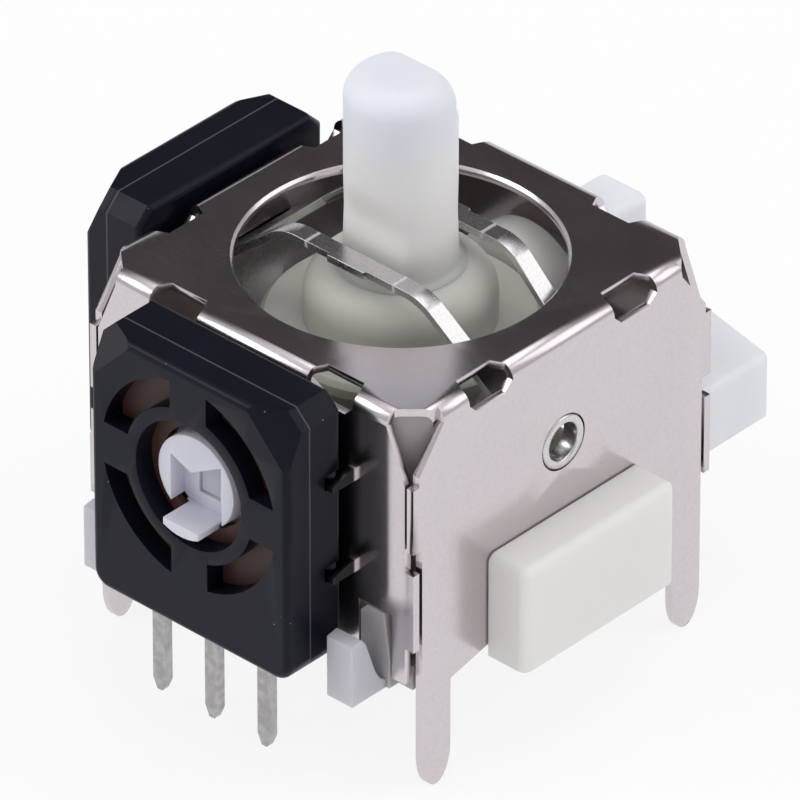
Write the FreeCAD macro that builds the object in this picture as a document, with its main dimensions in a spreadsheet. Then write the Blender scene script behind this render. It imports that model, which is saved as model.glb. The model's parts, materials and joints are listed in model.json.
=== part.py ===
"""Analogue thumb-stick module: a two-axis sprung gimbal in a folded steel frame.

Z = 0 is the plane on which the module seats on its circuit board, and the stick stands on
the Z axis at rest. The +X wall shows the arch's hollow journal, the -Y and -X walls carry the
two rotary resistors, and the push lever lies outside the +Y wall. Sizes are in millimetres.
"""
import FreeCAD, Part
import Sketcher
import math
import os

doc = FreeCAD.newDocument("ThumbStick")
os.makedirs("parts", exist_ok=True)

# Driving dimensions: name, value in millimetres or degrees, what it measures.
SIZES = [
    ("cage_width", 15.3, "outside width of the folded steel frame, both ways"),
    ("cage_top", 11.4, "height of the frame's top face over the board"),
    ("sheet", 0.3, "thickness of the frame's sheet"),
    ("bend_outer", 0.55, "outside radius of the frame's bends"),
    ("bend_inner", 0.25, "inside radius of the frame's bends"),
    ("hole_radius", 5.83, "round opening that the stick comes out of"),
    ("rim_bevel", 0.1, "bevel on the opening's top edge"),
    ("pivot_height", 7.0, "height of both tilt axes over the board"),
    ("corner_x", 6.4, "where the plate's corner cut starts on the Y edges"),
    ("corner_y", 6.1, "where the plate's corner cut starts on the X edges"),
    ("corner_plate", 7.25, "how far out the corner cut reaches on the plate"),
    ("vee_foot", 8.75, "height at which the corner's open vee ends"),
    ("side_edge", 7.25, "half width of the Y walls beside the slit"),
    ("slit_edge", 7.2, "half width of the X walls beside the slit"),
    ("ear_low", 6.1, "underside of the X walls' corner ears"),
    ("tab_high", 5.2, "upper end of the Y walls' corner tabs"),
    ("tab_low", 2.0, "lower end of the Y walls' corner tabs"),
    ("skirt_low", 0.5, "lower edge of the Y walls"),
    ("relief_near", 2.6, "near end of each bend relief along its edge"),
    ("relief_far", 4.8, "far end of each bend relief along its edge"),
    ("relief_reach", 6.75, "how far in each bend relief reaches on the plate"),
    ("relief_low", 10.5, "lower end of each bend relief on the wall"),
    ("relief_slant", 0.25, "slant of the ends of each bend relief"),
    ("relief_bevel", 0.35, "bevel of the lower corners of each bend relief"),
    ("leg_inner", 5.75, "inner edge of each solder leg"),
    ("leg_straight", 2.7, "straight length of a leg below the board"),
    ("leg_point", 1.4, "length of a leg's rounded point"),
    ("wall_rise", 0.45, "how far the X walls' lower edge rises to the notch"),
    ("rise_end", 3.8, "where the rising lower edge ends"),
    ("notch_half", 3.55, "half width of the notch over the base's shoulder"),
    ("notch_top", 3.95, "top of the notch over the base's shoulder"),
    ("base_gap", 0.15, "gap between the base and the frame's walls"),
    ("floor_thick", 1.0, "thickness of the base's floor"),
    ("boss_radius", 3.6, "boss under the stick that holds the centring bowl"),
    ("boss_top", 2.3, "top of the boss"),
    ("bowl_radius", 5.7, "radius of the bowl about the tilt centre"),
    ("bowl_gap", 0.3, "clearance between plunger and bowl"),
    ("block_reach", 9.45, "outer face of the base's shoulder block"),
    ("block_half", 3.9, "half width of the shoulder block"),
    ("block_top", 4.25, "top of the shoulder block"),
    ("block_round", 0.35, "edge rounding of the shoulder block"),
    ("foot_inner", 5.2, "inner face of the feet beside the resistors"),
    ("foot_outer", 6.55, "outer face of the feet at their foot"),
    ("foot_crest", 6.3, "outer end of a foot's level top"),
    ("foot_flare", 1.2, "height at which a foot starts to narrow"),
    ("foot_round", 0.3, "rounding of a foot's inner top edge"),
    ("foot_reach", 9.4, "how far the feet stand out"),
    ("foot_top", 3.05, "top of the feet"),
    ("back_foot_gap", 0.08, "gap from the tray on the -X side to the feet beside it"),
    ("back_foot_width", 0.8, "width of the feet on the -X side"),
    ("foot_gap", 0.1, "gap between a foot and the wall it passes"),
    ("shaft_radius", 2.0, "radius of the stick's shaft where the cap sits"),
    ("neck_radius", 2.08, "radius of the shaft's tapered neck at the hub"),
    ("shaft_top", 19.3, "top of the stick"),
    ("shaft_round", 1.15, "rounding of the stick's top"),
    ("flat_half", 1.38, "distance of the cap's flat from the shaft's axis"),
    ("neck_half", 1.45, "distance of the flats in the arch's slot from the shaft's axis"),
    ("flat_low", 11.3, "lower end of the two flats in the arch's slot"),
    ("flat_high", 13.4, "upper end of the flats in the arch's slot"),
    ("key_low", 16.2, "lower end of the flat that keys the cap"),
    ("dome_radius", 3.42, "radius of the stick's hub"),
    ("dome_top", 11.2, "top of the stick's hub"),
    ("skirt_radius", 4.95, "radius of the skirt round the hub"),
    ("skirt_top", 8.9, "top of the skirt"),
    ("skirt_thick", 0.55, "thickness of the skirt"),
    ("stem_radius", 2.6, "radius of the hub below the skirt"),
    ("stem_low", 3.4, "lower end of the hub"),
    ("barrel_radius", 1.8, "bore of the hub for spring and plunger"),
    ("barrel_top", 9.4, "upper end of the hub's bore"),
    ("trunnion_radius", 0.7, "radius of the stick's two trunnions"),
    ("trunnion_reach", 4.35, "outer end of the trunnions"),
    ("collar_radius", 1.1, "radius of the collars behind the trunnions"),
    ("pin_gap", 0.05, "radial clearance of every journal"),
    ("side_gap", 0.1, "end clearance of every journal"),
    ("arm_inner", 3.25, "inner face of the lower yoke's side arms"),
    ("arm_outer", 4.45, "outer face of the lower yoke's side arms"),
    ("arm_top", 6.6, "top of the side arms"),
    ("arm_low", 5.0, "underside of the side arms"),
    ("eye_radius", 1.2, "radius of the eyes that hold the trunnions"),
    ("ear_inner", 5.45, "inner face of the lower yoke's end ears"),
    ("ear_outer", 6.7, "outer face of the lower yoke's end ears"),
    ("ear_radius", 2.5, "radius of the lower yoke's end ears"),
    ("drive_radius", 1.2, "journal of the lower yoke in the -Y wall"),
    ("blade_half", 0.45, "half thickness of a rotor's driving blade"),
    ("blade_tall", 0.9, "half height of a rotor's driving blade"),
    ("push_radius", 0.9, "journal of the lower yoke in the saddle"),
    ("push_reach", 10.6, "outer end of the journal in the saddle"),
    ("saddle_half", 1.15, "half width of the press saddle"),
    ("saddle_reach", 11.65, "outer end of the press saddle"),
    ("saddle_top", 8.76, "top of the press saddle"),
    ("saddle_low", 5.58, "underside of the press saddle"),
    ("saddle_neck", 8.3, "top of the saddle's neck in the wall's slot"),
    ("saddle_flange", 1.9, "half width of the saddle's inner flange"),
    ("saddle_round", 0.25, "edge rounding of the press saddle"),
    ("saddle_crown", 0.4, "rounding of the saddle's two long top edges"),
    ("lever_half", 6.95, "half length of the push lever"),
    ("lever_near", 7.95, "inner face of the push lever"),
    ("lever_reach", 11.65, "outer face of the push lever"),
    ("lever_low", 2.05, "underside of the push lever"),
    ("lever_end", 4.65, "height of the push lever at its ends"),
    ("lever_mid", 5.95, "height of the push lever beside its pocket"),
    ("pocket_half", 1.5, "half width of the pocket under the saddle"),
    ("pocket_floor", 5.0, "floor of the pocket under the saddle"),
    ("rib_inset", 1.65, "distance of the lever's rib from the lever's outer face"),
    ("rib_half", 0.35, "half width of the lever's rib"),
    ("push_gap", 0.08, "gap between saddle and rib at rest"),
    ("hinge_place", 6.2, "push lever's axis, distance from the stick's axis"),
    ("hinge_height", 3.3, "push lever's axis, height over the board"),
    ("hinge_radius", 0.5, "radius of the push lever's trunnions"),
    ("lever_arm_inner", 4.3, "inner face of the push lever's arms"),
    ("lever_arm_outer", 5.6, "outer face of the push lever's arms"),
    ("lever_arm_half", 0.8, "half height of the push lever's arms"),
    ("post_outer", 6.9, "outer face of the posts that hold the push lever"),
    ("post_half", 0.9, "half depth of the posts that hold the push lever"),
    ("post_wall", 0.55, "wall of a post over its bore"),
    ("nub_half", 1.0, "half width of the pad over the switch"),
    ("nub_drop", 0.25, "how far the pad stands under the lever"),
    ("lever_round", 0.3, "edge rounding of the push lever"),
    ("arch_top", 12.25, "top of the steel arch"),
    ("arch_knee", 8.9, "height at which the arch's slopes turn down"),
    ("arch_flat", 3.25, "half length of the arch's level top"),
    ("arch_sheet", 0.3, "thickness of the arch's sheet"),
    ("arch_half", 2.63, "half width of the arch"),
    ("arch_taper", 0.3, "how much narrower each side of the arch is at its lower bend"),
    ("slot_half", 1.9, "half width of the arch's slot"),
    ("slot_taper", 0.15, "how much narrower each side of the slot is at its ends"),
    ("slot_reach", 5.2, "half length of the arch's slot in plan"),
    ("arch_gap", 0.05, "gap between the arch's ears and the walls"),
    ("arch_eye", 1.5, "radius of the arch's ears about the axis"),
    ("ring_radius", 1.05, "outside radius of the arch's journals"),
    ("ring_bore", 0.72, "inside radius of the hollow journal"),
    ("ring_proud", 0.04, "how far the journal stands out of the wall"),
    ("rail_step", 0.12, "small outward step on each rail"),
    ("step_start", -0.94, "where the rails' step starts"),
    ("step_end", 0.77, "where the rails' step ends"),
    ("plunger_radius", 1.72, "radius of the centring plunger"),
    ("plunger_top", 5.4, "top of the centring plunger"),
    ("plunger_low", 2.9, "lower edge of the plunger's barrel"),
    ("plunger_bore", 1.42, "spring seat inside the plunger"),
    ("plunger_seat", 3.4, "floor of the spring seat"),
    ("nose_radius", 1.0, "radius of the plunger's nose"),
    ("nose_root", 1.3, "radius at the root of the plunger's nose"),
    ("wire_radius", 0.17, "radius of the spring's wire"),
    ("coil_radius", 1.2, "mean radius of the spring"),
    ("coil_pitch", 0.92, "pitch of the spring"),
    ("seat_gap", 0.04, "gap at each end of the spring"),
    ("pot_half", 4.67, "half width of a resistor's case"),
    ("pot_low", 0.8, "underside of a resistor's case"),
    ("pot_top", 11.62, "top of a resistor's case"),
    ("pot_face", 10.77, "outer face of a resistor's case"),
    ("pot_split", 9.65, "parting line between cover and tray"),
    ("pot_back", 8.03, "back of a resistor's tray"),
    ("pot_wall", 0.75, "side wall of a resistor's case"),
    ("face_thick", 0.8, "thickness of the cover's face"),
    ("back_thick", 0.35, "thickness of the tray's back"),
    ("pot_round", 0.28, "edge rounding of the cover's face"),
    ("pot_shoulder", 0.62, "bevel along the case's two top edges"),
    ("pot_corner", 0.7, "rounding along the case's two lower edges"),
    ("facet_across", 2.07, "width of the cover's corner facets"),
    ("facet_deep", 1.01, "depth of the cover's corner facets"),
    ("facet_tall", 2.2, "height of the cover's corner facets"),
    ("grip_depth", 0.3, "depth of the notches in the tray's sides"),
    ("grip_far", 0.75, "distance of a notch's outer end from the parting line"),
    ("grip_tall", 0.6, "height of a notch"),
    ("grip_high", 8.0, "lower end of the upper notch"),
    ("grip_low", 4.2, "lower end of the lower notch"),
    ("claw_gap", 0.05, "gap between the frame's claws and the case"),
    ("claw_tip", 0.3, "length of a claw's hooked tip"),
    ("eyelet_radius", 2.5, "opening in the cover round the rotor"),
    ("window_inner", 3.0, "inner radius of the cover's four windows"),
    ("window_outer", 4.1, "outer radius of the cover's four windows"),
    ("spoke_half", 0.85, "half width of the bars between the windows"),
    ("board_thick", 0.26, "thickness of the resistor board"),
    ("board_bore", 1.95, "hole of the resistor board"),
    ("board_gap", 0.05, "gap round the resistor board"),
    ("rotor_radius", 1.78, "radius of the rotor's hub"),
    ("rotor_face", 10.4, "outer face of the rotor's hub"),
    ("rotor_disc", 3.5, "radius of the rotor's disc"),
    ("disc_face", 9.2, "outer face of the rotor's disc"),
    ("disc_back", 8.65, "back of the rotor's disc"),
    ("rotor_boss", 1.4, "radius of the rotor's rear boss"),
    ("rotor_rear", 7.9, "rear end of the rotor's boss"),
    ("jaw_low", -1.45, "lower edge of the rotor's pocket from its axis"),
    ("jaw_notch", 0.25, "point of the upper jaw from the axis"),
    ("jaw_left", 0.65, "upper edge of the pocket at its one side"),
    ("jaw_right", 1.1, "upper edge of the pocket at its other side"),
    ("jaw_half", 1.2, "half width of the rotor's pocket"),
    ("jaw_depth", 0.7, "depth of the rotor's pocket"),
    ("lug_half", 0.83, "half width of the rotor's lower lug"),
    ("lug_low", 1.9, "lower end of the lug from the axis"),
    ("lug_proud", 0.8, "how far the lug stands out of the rotor"),
    ("slit_high", 1.45, "upper edge of the slits beside the lug from the axis"),
    ("slit_low", 1.95, "lower edge of the slits beside the lug from the axis"),
    ("slit_depth", 0.6, "depth of the slits beside the lug"),
    ("wiper_outer", 3.3, "outer radius of the wiper"),
    ("wiper_inner", 2.1, "inner radius of the wiper"),
    ("wiper_thick", 0.12, "thickness of the wiper"),
    ("pin_pitch", 2.5, "spacing of the terminals"),
    ("pin_half", 0.315, "half width of a terminal"),
    ("pin_thick", 0.34, "thickness of a terminal"),
    ("pin_low", 3.3, "how far the terminals reach below the board"),
    ("pin_point", 0.45, "length of a terminal's point"),
    ("pin_tip", 0.12, "half width of a terminal's tip"),
    ("pin_high", 2.3, "upper end of the terminals on the board"),
]

sheet = doc.addObject("Spreadsheet::Sheet", "Sizes")
for row, (alias, value, meaning) in enumerate(SIZES, start=1):
    sheet.set("A%d" % row, alias.replace("_", " "))
    sheet.set("B%d" % row, str(value))
    sheet.set("C%d" % row, meaning)
    sheet.setAlias("B%d" % row, alias)
doc.recompute()


class Size:
    """A length with its number and the sheet expression that gives it."""

    def __init__(self, value, text):
        self.value = value
        self.text = text

    def joined(self, other, sign, value):
        return Size(value, "(%s %s %s)" % (self.text, sign, size(other).text))

    def __add__(self, other):
        return self.joined(other, "+", self.value + size(other).value)

    def __radd__(self, other):
        return size(other) + self

    def __sub__(self, other):
        return self.joined(other, "-", self.value - size(other).value)

    def __rsub__(self, other):
        return size(other) - self

    def __mul__(self, other):
        return self.joined(other, "*", self.value * size(other).value)

    def __rmul__(self, other):
        return size(other) * self

    def __truediv__(self, other):
        return self.joined(other, "/", self.value / size(other).value)

    def __neg__(self):
        return Size(-self.value, "(0 - %s)" % self.text)


def size(number):
    """Turn a plain number into a Size, and leave a Size as it is."""
    if isinstance(number, Size):
        return number
    return Size(float(number), "(%.9f)" % number)


class Named:
    """The sheet's values by name."""


S = Named()
for alias, value, meaning in SIZES:
    setattr(S, alias, Size(value, "Sizes.%s" % alias))


def bind(obj, prop, length):
    obj.setExpression(prop, size(length).text)


def place(obj, x=0, y=0, z=0):
    bind(obj, "Placement.Base.x", x)
    bind(obj, "Placement.Base.y", y)
    bind(obj, "Placement.Base.z", z)


# Turns that stand a solid or a sketch on each axis: local x, y and normal directions.
TURN = {
    "XY": FreeCAD.Rotation(),
    "XZ": FreeCAD.Rotation(FreeCAD.Vector(1, 0, 0), 90),
    "YZ": FreeCAD.Rotation(FreeCAD.Vector(1, 1, 1), 120),
    "X": FreeCAD.Rotation(FreeCAD.Vector(0, 1, 0), 90),
    "Y": FreeCAD.Rotation(FreeCAD.Vector(1, 0, 0), -90),
    "Z": FreeCAD.Rotation(),
}


def box(name, xs, ys, zs):
    """A block between two positions along each axis."""
    obj = doc.addObject("Part::Box", name)
    for prop, (low, high) in zip(("Length", "Width", "Height"), (xs, ys, zs)):
        bind(obj, prop, size(high) - low)
    place(obj, xs[0], ys[0], zs[0])
    return obj


def cylinder(name, axis, radius, low, high, x=0, y=0, z=0):
    """A round bar along an axis between two positions; x, y, z place its centre line."""
    obj = doc.addObject("Part::Cylinder", name)
    bind(obj, "Radius", radius)
    bind(obj, "Height", size(high) - low)
    obj.Placement = FreeCAD.Placement(FreeCAD.Vector(), TURN[axis])
    centre = {"X": (low, y, z), "Y": (x, low, z), "Z": (x, y, low)}[axis]
    place(obj, *centre)
    return obj


def cone(name, axis, first, second, low, high, x=0, y=0, z=0):
    """A round taper along an axis, with its radius at the low and at the high end."""
    obj = doc.addObject("Part::Cone", name)
    bind(obj, "Radius1", first)
    bind(obj, "Radius2", second)
    bind(obj, "Height", size(high) - low)
    obj.Placement = FreeCAD.Placement(FreeCAD.Vector(), TURN[axis])
    centre = {"X": (low, y, z), "Y": (x, low, z), "Z": (x, y, low)}[axis]
    place(obj, *centre)
    return obj


def sphere(name, radius, x=0, y=0, z=0):
    obj = doc.addObject("Part::Sphere", name)
    bind(obj, "Radius", radius)
    place(obj, x, y, z)
    return obj


def draw(sketch, points):
    """Draw a closed outline whose corners are tied to the sheet."""
    corners = [(size(u), size(v)) for u, v in points]
    spots = [FreeCAD.Vector(u.value, v.value, 0) for u, v in corners]
    count = len(spots)
    for index in range(count):
        sketch.addGeometry(Part.LineSegment(spots[index], spots[(index + 1) % count]), False)
    for index, (u, v) in enumerate(corners):
        sketch.addConstraint(Sketcher.Constraint("Coincident", index, 1, (index - 1) % count, 2))
        for kind, length in (("DistanceX", u), ("DistanceY", v)):
            if abs(length.value) < 1e-9:
                other = -2 if kind == "DistanceX" else -1
                sketch.addConstraint(Sketcher.Constraint("PointOnObject", index, 1, other))
                continue
            number = sketch.addConstraint(
                Sketcher.Constraint(kind, -1, 1, index, 1, length.value))
            sketch.setExpression("Constraints[%d]" % number, length.text)


def prism(name, plane, points, low, high):
    """An outline in a main plane carried from a low to a high position across it."""
    sketch = doc.addObject("Sketcher::SketchObject", name + "_outline")
    sketch.Placement = FreeCAD.Placement(FreeCAD.Vector(), TURN[plane])
    start = {"XY": (0, 0, low), "XZ": (0, high, 0), "YZ": (low, 0, 0)}[plane]
    place(sketch, *start)
    draw(sketch, points)
    obj = doc.addObject("Part::Extrusion", name)
    obj.Base = sketch
    obj.DirMode = "Normal"
    obj.Solid = True
    bind(obj, "LengthFwd", size(high) - low)
    return obj


def fuse(name, *pieces):
    obj = doc.addObject("Part::MultiFuse", name)
    obj.Shapes = list(pieces)
    obj.Refine = True
    return obj


def common(name, *pieces):
    obj = doc.addObject("Part::MultiCommon", name)
    obj.Shapes = list(pieces)
    return obj


def cut(name, base, *tools):
    """Take the tools away from the base."""
    obj = doc.addObject("Part::Cut", name)
    obj.Base = base
    obj.Tool = tools[0] if len(tools) == 1 else fuse(name + "_tools", *tools)
    obj.Refine = True
    return obj


def mirrored(name, source, normal):
    obj = doc.addObject("Part::Mirroring", name)
    obj.Source = source
    obj.Normal = normal
    return obj


def both_sides(name, source, normal):
    """The piece and its mirror image across the plane through the stick's axis."""
    return fuse(name, source, mirrored(name + "_image", source, normal))


def rounded(name, base, radius, chosen):
    """Round the edges that a test picks by their end points and middle."""
    doc.recompute()
    obj = doc.addObject("Part::Fillet", name)
    obj.Base = base
    obj.Edges = [(index, radius.value, radius.value)
                 for index, edge in enumerate(base.Shape.Edges, start=1) if chosen(edge)]
    return obj


def bevelled(name, base, length, chosen):
    """Bevel the edges that a test picks."""
    doc.recompute()
    obj = doc.addObject("Part::Chamfer", name)
    obj.Base = base
    obj.Edges = [(index, length.value, length.value)
                 for index, edge in enumerate(base.Shape.Edges, start=1) if chosen(edge)]
    return obj


def at(edge, axis, place_value, slack=0.01):
    """True where a whole edge lies at one position along an axis."""
    low = getattr(edge.BoundBox, axis + "Min")
    high = getattr(edge.BoundBox, axis + "Max")
    target = size(place_value).value
    return abs(low - target) < slack and abs(high - target) < slack


NODES = []


def node(obj, name):
    """Name a finished piece: its label is the name of its file."""
    obj.Label = name
    NODES.append(obj)
    return obj


X_AXIS = FreeCAD.Vector(1, 0, 0)
Y_AXIS = FreeCAD.Vector(0, 1, 0)
wall = S.cage_width / 2
wall_inner = wall - S.sheet
plate_low = S.cage_top - S.sheet
beyond = wall + 2
back_foot_inner = S.pot_half + S.back_foot_gap
back_foot_outer = back_foot_inner + S.back_foot_width
above = S.cage_top + 1
axis_z = S.pivot_height


# The folded frame: a plate with a round opening and four walls, open at the corners.
outer = box("cage_outer", (-wall, wall), (-wall, wall), (0, S.cage_top))
outer_bent = rounded("cage_outer_bent", outer, S.bend_outer,
                     lambda edge: at(edge, "Z", S.cage_top))
inner = box("cage_inner", (-wall_inner, wall_inner), (-wall_inner, wall_inner), (-1, plate_low))
inner_bent = rounded("cage_inner_bent", inner, S.bend_inner,
                     lambda edge: at(edge, "Z", plate_low))
folded = cut("cage_folded", outer_bent, inner_bent)

leg_half = (S.slit_edge - S.leg_inner) / 2
leg_middle = (S.slit_edge + S.leg_inner) / 2
LEG_STEPS = 12
leg_outline = [(S.slit_edge, 0.2)]
for step in range(LEG_STEPS + 1):
    turn = math.pi * step / LEG_STEPS
    leg_outline.append((leg_middle + leg_half * math.cos(turn),
                        -S.leg_straight - S.leg_point * math.sin(turn)))
leg_outline.append((S.leg_inner, 0.2))
leg = prism("leg", "YZ", leg_outline, wall_inner, wall)
legs_two = both_sides("legs_two", leg, Y_AXIS)
legs = both_sides("legs_four", legs_two, X_AXIS)

corner_cuts = fuse(
    "corner_cuts",
    prism("corner_plate_cut", "XY",
          [(S.corner_x, S.corner_plate), (wall, S.corner_y), (beyond, S.corner_y),
           (beyond, beyond), (S.corner_x, beyond)],
          plate_low - S.bend_inner, above),
    prism("corner_x_vee", "YZ",
          [(S.corner_y, above), (S.corner_y, plate_low - S.bend_inner), (wall, S.vee_foot),
           (beyond, S.vee_foot), (beyond, above)],
          wall_inner, beyond),
    prism("corner_y_vee", "XZ",
          [(S.corner_x, above), (S.corner_x, plate_low - S.bend_inner),
           (S.side_edge, S.vee_foot), (beyond, S.vee_foot), (beyond, above)],
          wall_inner, beyond),
    box("corner_y_slit", (S.side_edge, wall_inner), (wall_inner, beyond),
        (S.tab_high, S.vee_foot)),
    box("corner_x_slit", (wall_inner, beyond), (S.slit_edge, wall_inner), (-1, S.ear_low)),
    box("corner_gap", (S.side_edge, beyond), (S.slit_edge, beyond), (S.tab_high, S.ear_low)),
    box("corner_foot", (S.side_edge, beyond), (wall_inner, beyond), (-1, S.tab_low)))
corners_two = both_sides("corners_two", corner_cuts, X_AXIS)
corners = both_sides("corners_four", corners_two, Y_AXIS)

relief_outline = [
    (S.relief_reach, S.relief_near + S.relief_slant), (S.relief_reach, S.relief_far - S.relief_slant),
    (S.relief_reach + 2 * S.relief_slant, S.relief_far), (beyond, S.relief_far),
    (beyond, S.relief_near), (S.relief_reach + 2 * S.relief_slant, S.relief_near)]
relief_front = [
    (S.relief_near, above), (S.relief_near, S.relief_low + S.relief_bevel),
    (S.relief_near + S.relief_bevel, S.relief_low), (S.relief_far - S.relief_bevel, S.relief_low),
    (S.relief_far, S.relief_low + S.relief_bevel), (S.relief_far, above)]
relief_x = common("relief_x", prism("relief_x_plan", "XY", relief_outline, S.relief_low, above),
                  prism("relief_x_front", "YZ", relief_front, S.relief_reach, beyond))
relief_y = common("relief_y", prism("relief_y_plan", "XY", [(v, u) for u, v in relief_outline],
                                    S.relief_low, above),
                  prism("relief_y_front", "XZ", relief_front, S.relief_reach, beyond))
reliefs_two = both_sides("reliefs_two", fuse("relief_pair", relief_x, relief_y), X_AXIS)
reliefs = both_sides("reliefs_four", reliefs_two, Y_AXIS)

notch = prism("wall_notch", "YZ",
              [(-S.leg_inner, -1), (S.leg_inner, -1), (S.leg_inner, 0),
               (S.rise_end, S.wall_rise), (S.notch_half, S.wall_rise),
               (S.notch_half, S.notch_top), (-S.notch_half, S.notch_top),
               (-S.notch_half, S.wall_rise), (-S.rise_end, S.wall_rise), (-S.leg_inner, 0)],
              -beyond, beyond)
skirts = both_sides("wall_skirts",
                    box("wall_skirt", (-S.side_edge, S.side_edge), (wall_inner, beyond),
                        (-1, S.skirt_low)), Y_AXIS)
feet_front = both_sides(
    "foot_slots", box("foot_slot", (S.foot_inner - S.foot_gap, S.foot_outer + S.foot_gap),
                      (-beyond, -wall_inner), (-1, S.foot_top + S.foot_gap)), X_AXIS)
feet_back = both_sides(
    "back_foot_slots", box("back_foot_slot", (-beyond, -wall_inner),
                           (back_foot_inner - S.foot_gap, back_foot_outer + S.foot_gap),
                           (0, S.foot_top + S.foot_gap)), Y_AXIS)
saddle_slot = box("saddle_slot", (-S.saddle_half - S.side_gap, S.saddle_half + S.side_gap),
                  (wall_inner, beyond), (-1, S.saddle_neck + S.pin_gap))
lever_slots = both_sides(
    "lever_slots", box("lever_slot", (S.lever_arm_inner - 2 * S.side_gap,
                                      S.lever_arm_outer + 2 * S.side_gap),
                       (wall_inner, beyond),
                       (-1, S.hinge_height + S.lever_arm_half + 4 * S.side_gap)), X_AXIS)
mouth = fuse("mouth", cylinder("mouth_bore", "Z", S.hole_radius, plate_low - 1, above),
             cone("mouth_bevel", "Z", S.hole_radius, S.hole_radius + 2 * S.rim_bevel,
                  S.cage_top - S.rim_bevel, S.cage_top + S.rim_bevel))
ring_holes = cylinder("ring_holes", "X", S.ring_radius + S.pin_gap, -beyond, beyond, z=axis_z)
drive_hole = cylinder("drive_hole", "Y", S.drive_radius + S.pin_gap, -beyond, -wall_inner + 0.2,
                      z=axis_z)
# Hooked claws on the -Y and -X walls that grip the resistors' trays by their notches.
grip_end = S.pot_split - S.grip_far
claw_end = grip_end - S.claw_gap
claw_inner = S.pot_half + S.claw_gap
claws = []
for number, low in enumerate((S.grip_high, S.grip_low), start=1):
    claw_low = low + S.claw_gap
    claw_high = low + S.grip_tall - S.claw_gap
    tip_high = (claw_low + claw_high) / 2
    claws.append(prism("claw_%d" % number, "YZ",
                       [(-wall_inner, claw_low), (-wall_inner, claw_high),
                        (-S.pot_back, claw_high), (-claw_end, tip_high), (-claw_end, claw_low)],
                       claw_inner, claw_inner + S.sheet))
    claws.append(box("claw_tip_%d" % number, (claw_inner - S.grip_depth, claw_inner + 0.1),
                     (-claw_end, -claw_end + S.claw_tip), (claw_low, tip_high)))
claws_front = both_sides("claws_front", fuse("claws_side", *claws), X_AXIS)
claws_all = both_sides("claws_all", claws_front, FreeCAD.Vector(1, -1, 0))
node(cut("cage_cut", fuse("cage_blank", cut("cage_trim", folded, corners), legs, claws_all),
         reliefs, notch, skirts, feet_front, feet_back, saddle_slot, lever_slots, mouth,
         ring_holes, drive_hole), "cage")


# The moulded base: floor, centring bowl, shoulder block, feet and lever posts.
base_half = wall_inner - S.base_gap
floor = box("floor", (-base_half, base_half), (-base_half, base_half), (0, S.floor_thick))
boss = cylinder("bowl_boss", "Z", S.boss_radius, 0, S.boss_top)
bowl = sphere("bowl", S.bowl_radius, z=axis_z)
block_sharp = box("block_sharp", (wall + 0.05, S.block_reach), (-S.block_half, S.block_half),
                  (0, S.block_top))
block = rounded("block", block_sharp, S.block_round,
                lambda edge: not at(edge, "X", wall + 0.05) and not at(edge, "Z", 0))
neck_half = S.notch_half - S.base_gap
neck = box("block_neck", (wall - 1, wall + 0.3), (-neck_half, neck_half),
           (0, S.notch_top - S.base_gap))
foot_outline = [(S.foot_inner, 0), (S.foot_outer, 0), (S.foot_outer, S.foot_flare),
                (S.foot_crest, S.foot_top), (S.foot_inner + S.foot_round, S.foot_top),
                (S.foot_inner, S.foot_top - S.foot_round)]
feet_a = both_sides("feet_a", prism("foot_a", "XZ", foot_outline, -S.foot_reach, -wall + 1),
                    X_AXIS)
feet_b = both_sides("feet_b", box("foot_b", (-S.foot_reach, -wall + 1),
                                  (back_foot_inner, back_foot_outer), (0, S.foot_top)),
                    Y_AXIS)
post = box("post", (S.lever_arm_outer + S.side_gap, S.post_outer),
           (S.hinge_place - S.post_half, S.hinge_place + S.post_half),
           (0, S.hinge_height + S.hinge_radius + S.pin_gap + S.post_wall))
posts = both_sides("posts", post, X_AXIS)
hinge_bore = cylinder("hinge_bore", "X", S.hinge_radius + S.pin_gap, -S.post_outer - 1,
                      S.post_outer + 1, y=S.hinge_place, z=S.hinge_height)
node(cut("base_cut", fuse("base_solid", floor, boss, block, neck, feet_a, feet_b, posts),
         bowl, hinge_bore), "base")


# The stick: shaft, hub with skirt, trunnions and the bore for spring and plunger.
shaft = rounded("shaft", cylinder("shaft_sharp", "Z", S.shaft_radius, S.dome_top - 1.5,
                                  S.shaft_top),
                S.shaft_round, lambda edge: at(edge, "Z", S.shaft_top))
neck_taper = cone("neck_taper", "Z", S.neck_radius, S.shaft_radius, S.dome_top, S.flat_high)
neck_root = cylinder("neck_root", "Z", S.neck_radius, S.dome_top - 1.5, S.dome_top)
clear_of_shaft = 2 * S.shaft_radius
flat_cuts = fuse(
    "flat_cuts",
    both_sides("slot_flats", box("slot_flat", (-clear_of_shaft, clear_of_shaft),
                                 (S.neck_half, clear_of_shaft), (S.flat_low, S.flat_high)),
               Y_AXIS),
    box("key_flat", (-clear_of_shaft, clear_of_shaft), (S.flat_half, clear_of_shaft),
        (S.key_low, S.shaft_top + 1)))
crest_place = S.flat_half - S.shaft_round
crest_low = S.shaft_top - S.shaft_round
crest = cut("crest", box("crest_corner", (-clear_of_shaft, clear_of_shaft),
                         (crest_place, clear_of_shaft), (crest_low, S.shaft_top + 1)),
            cylinder("crest_round", "X", S.shaft_round, -1.2 * clear_of_shaft,
                     1.2 * clear_of_shaft, y=crest_place, z=crest_low))
shaft_flat = cut("shaft_flat", fuse("shaft_necked", shaft, neck_taper, neck_root), flat_cuts,
                 crest)
dome = rounded("dome", cylinder("dome_sharp", "Z", S.dome_radius, S.skirt_top - 0.3, S.dome_top),
               S.dome_radius - S.neck_radius, lambda edge: at(edge, "Z", S.dome_top))
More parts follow.
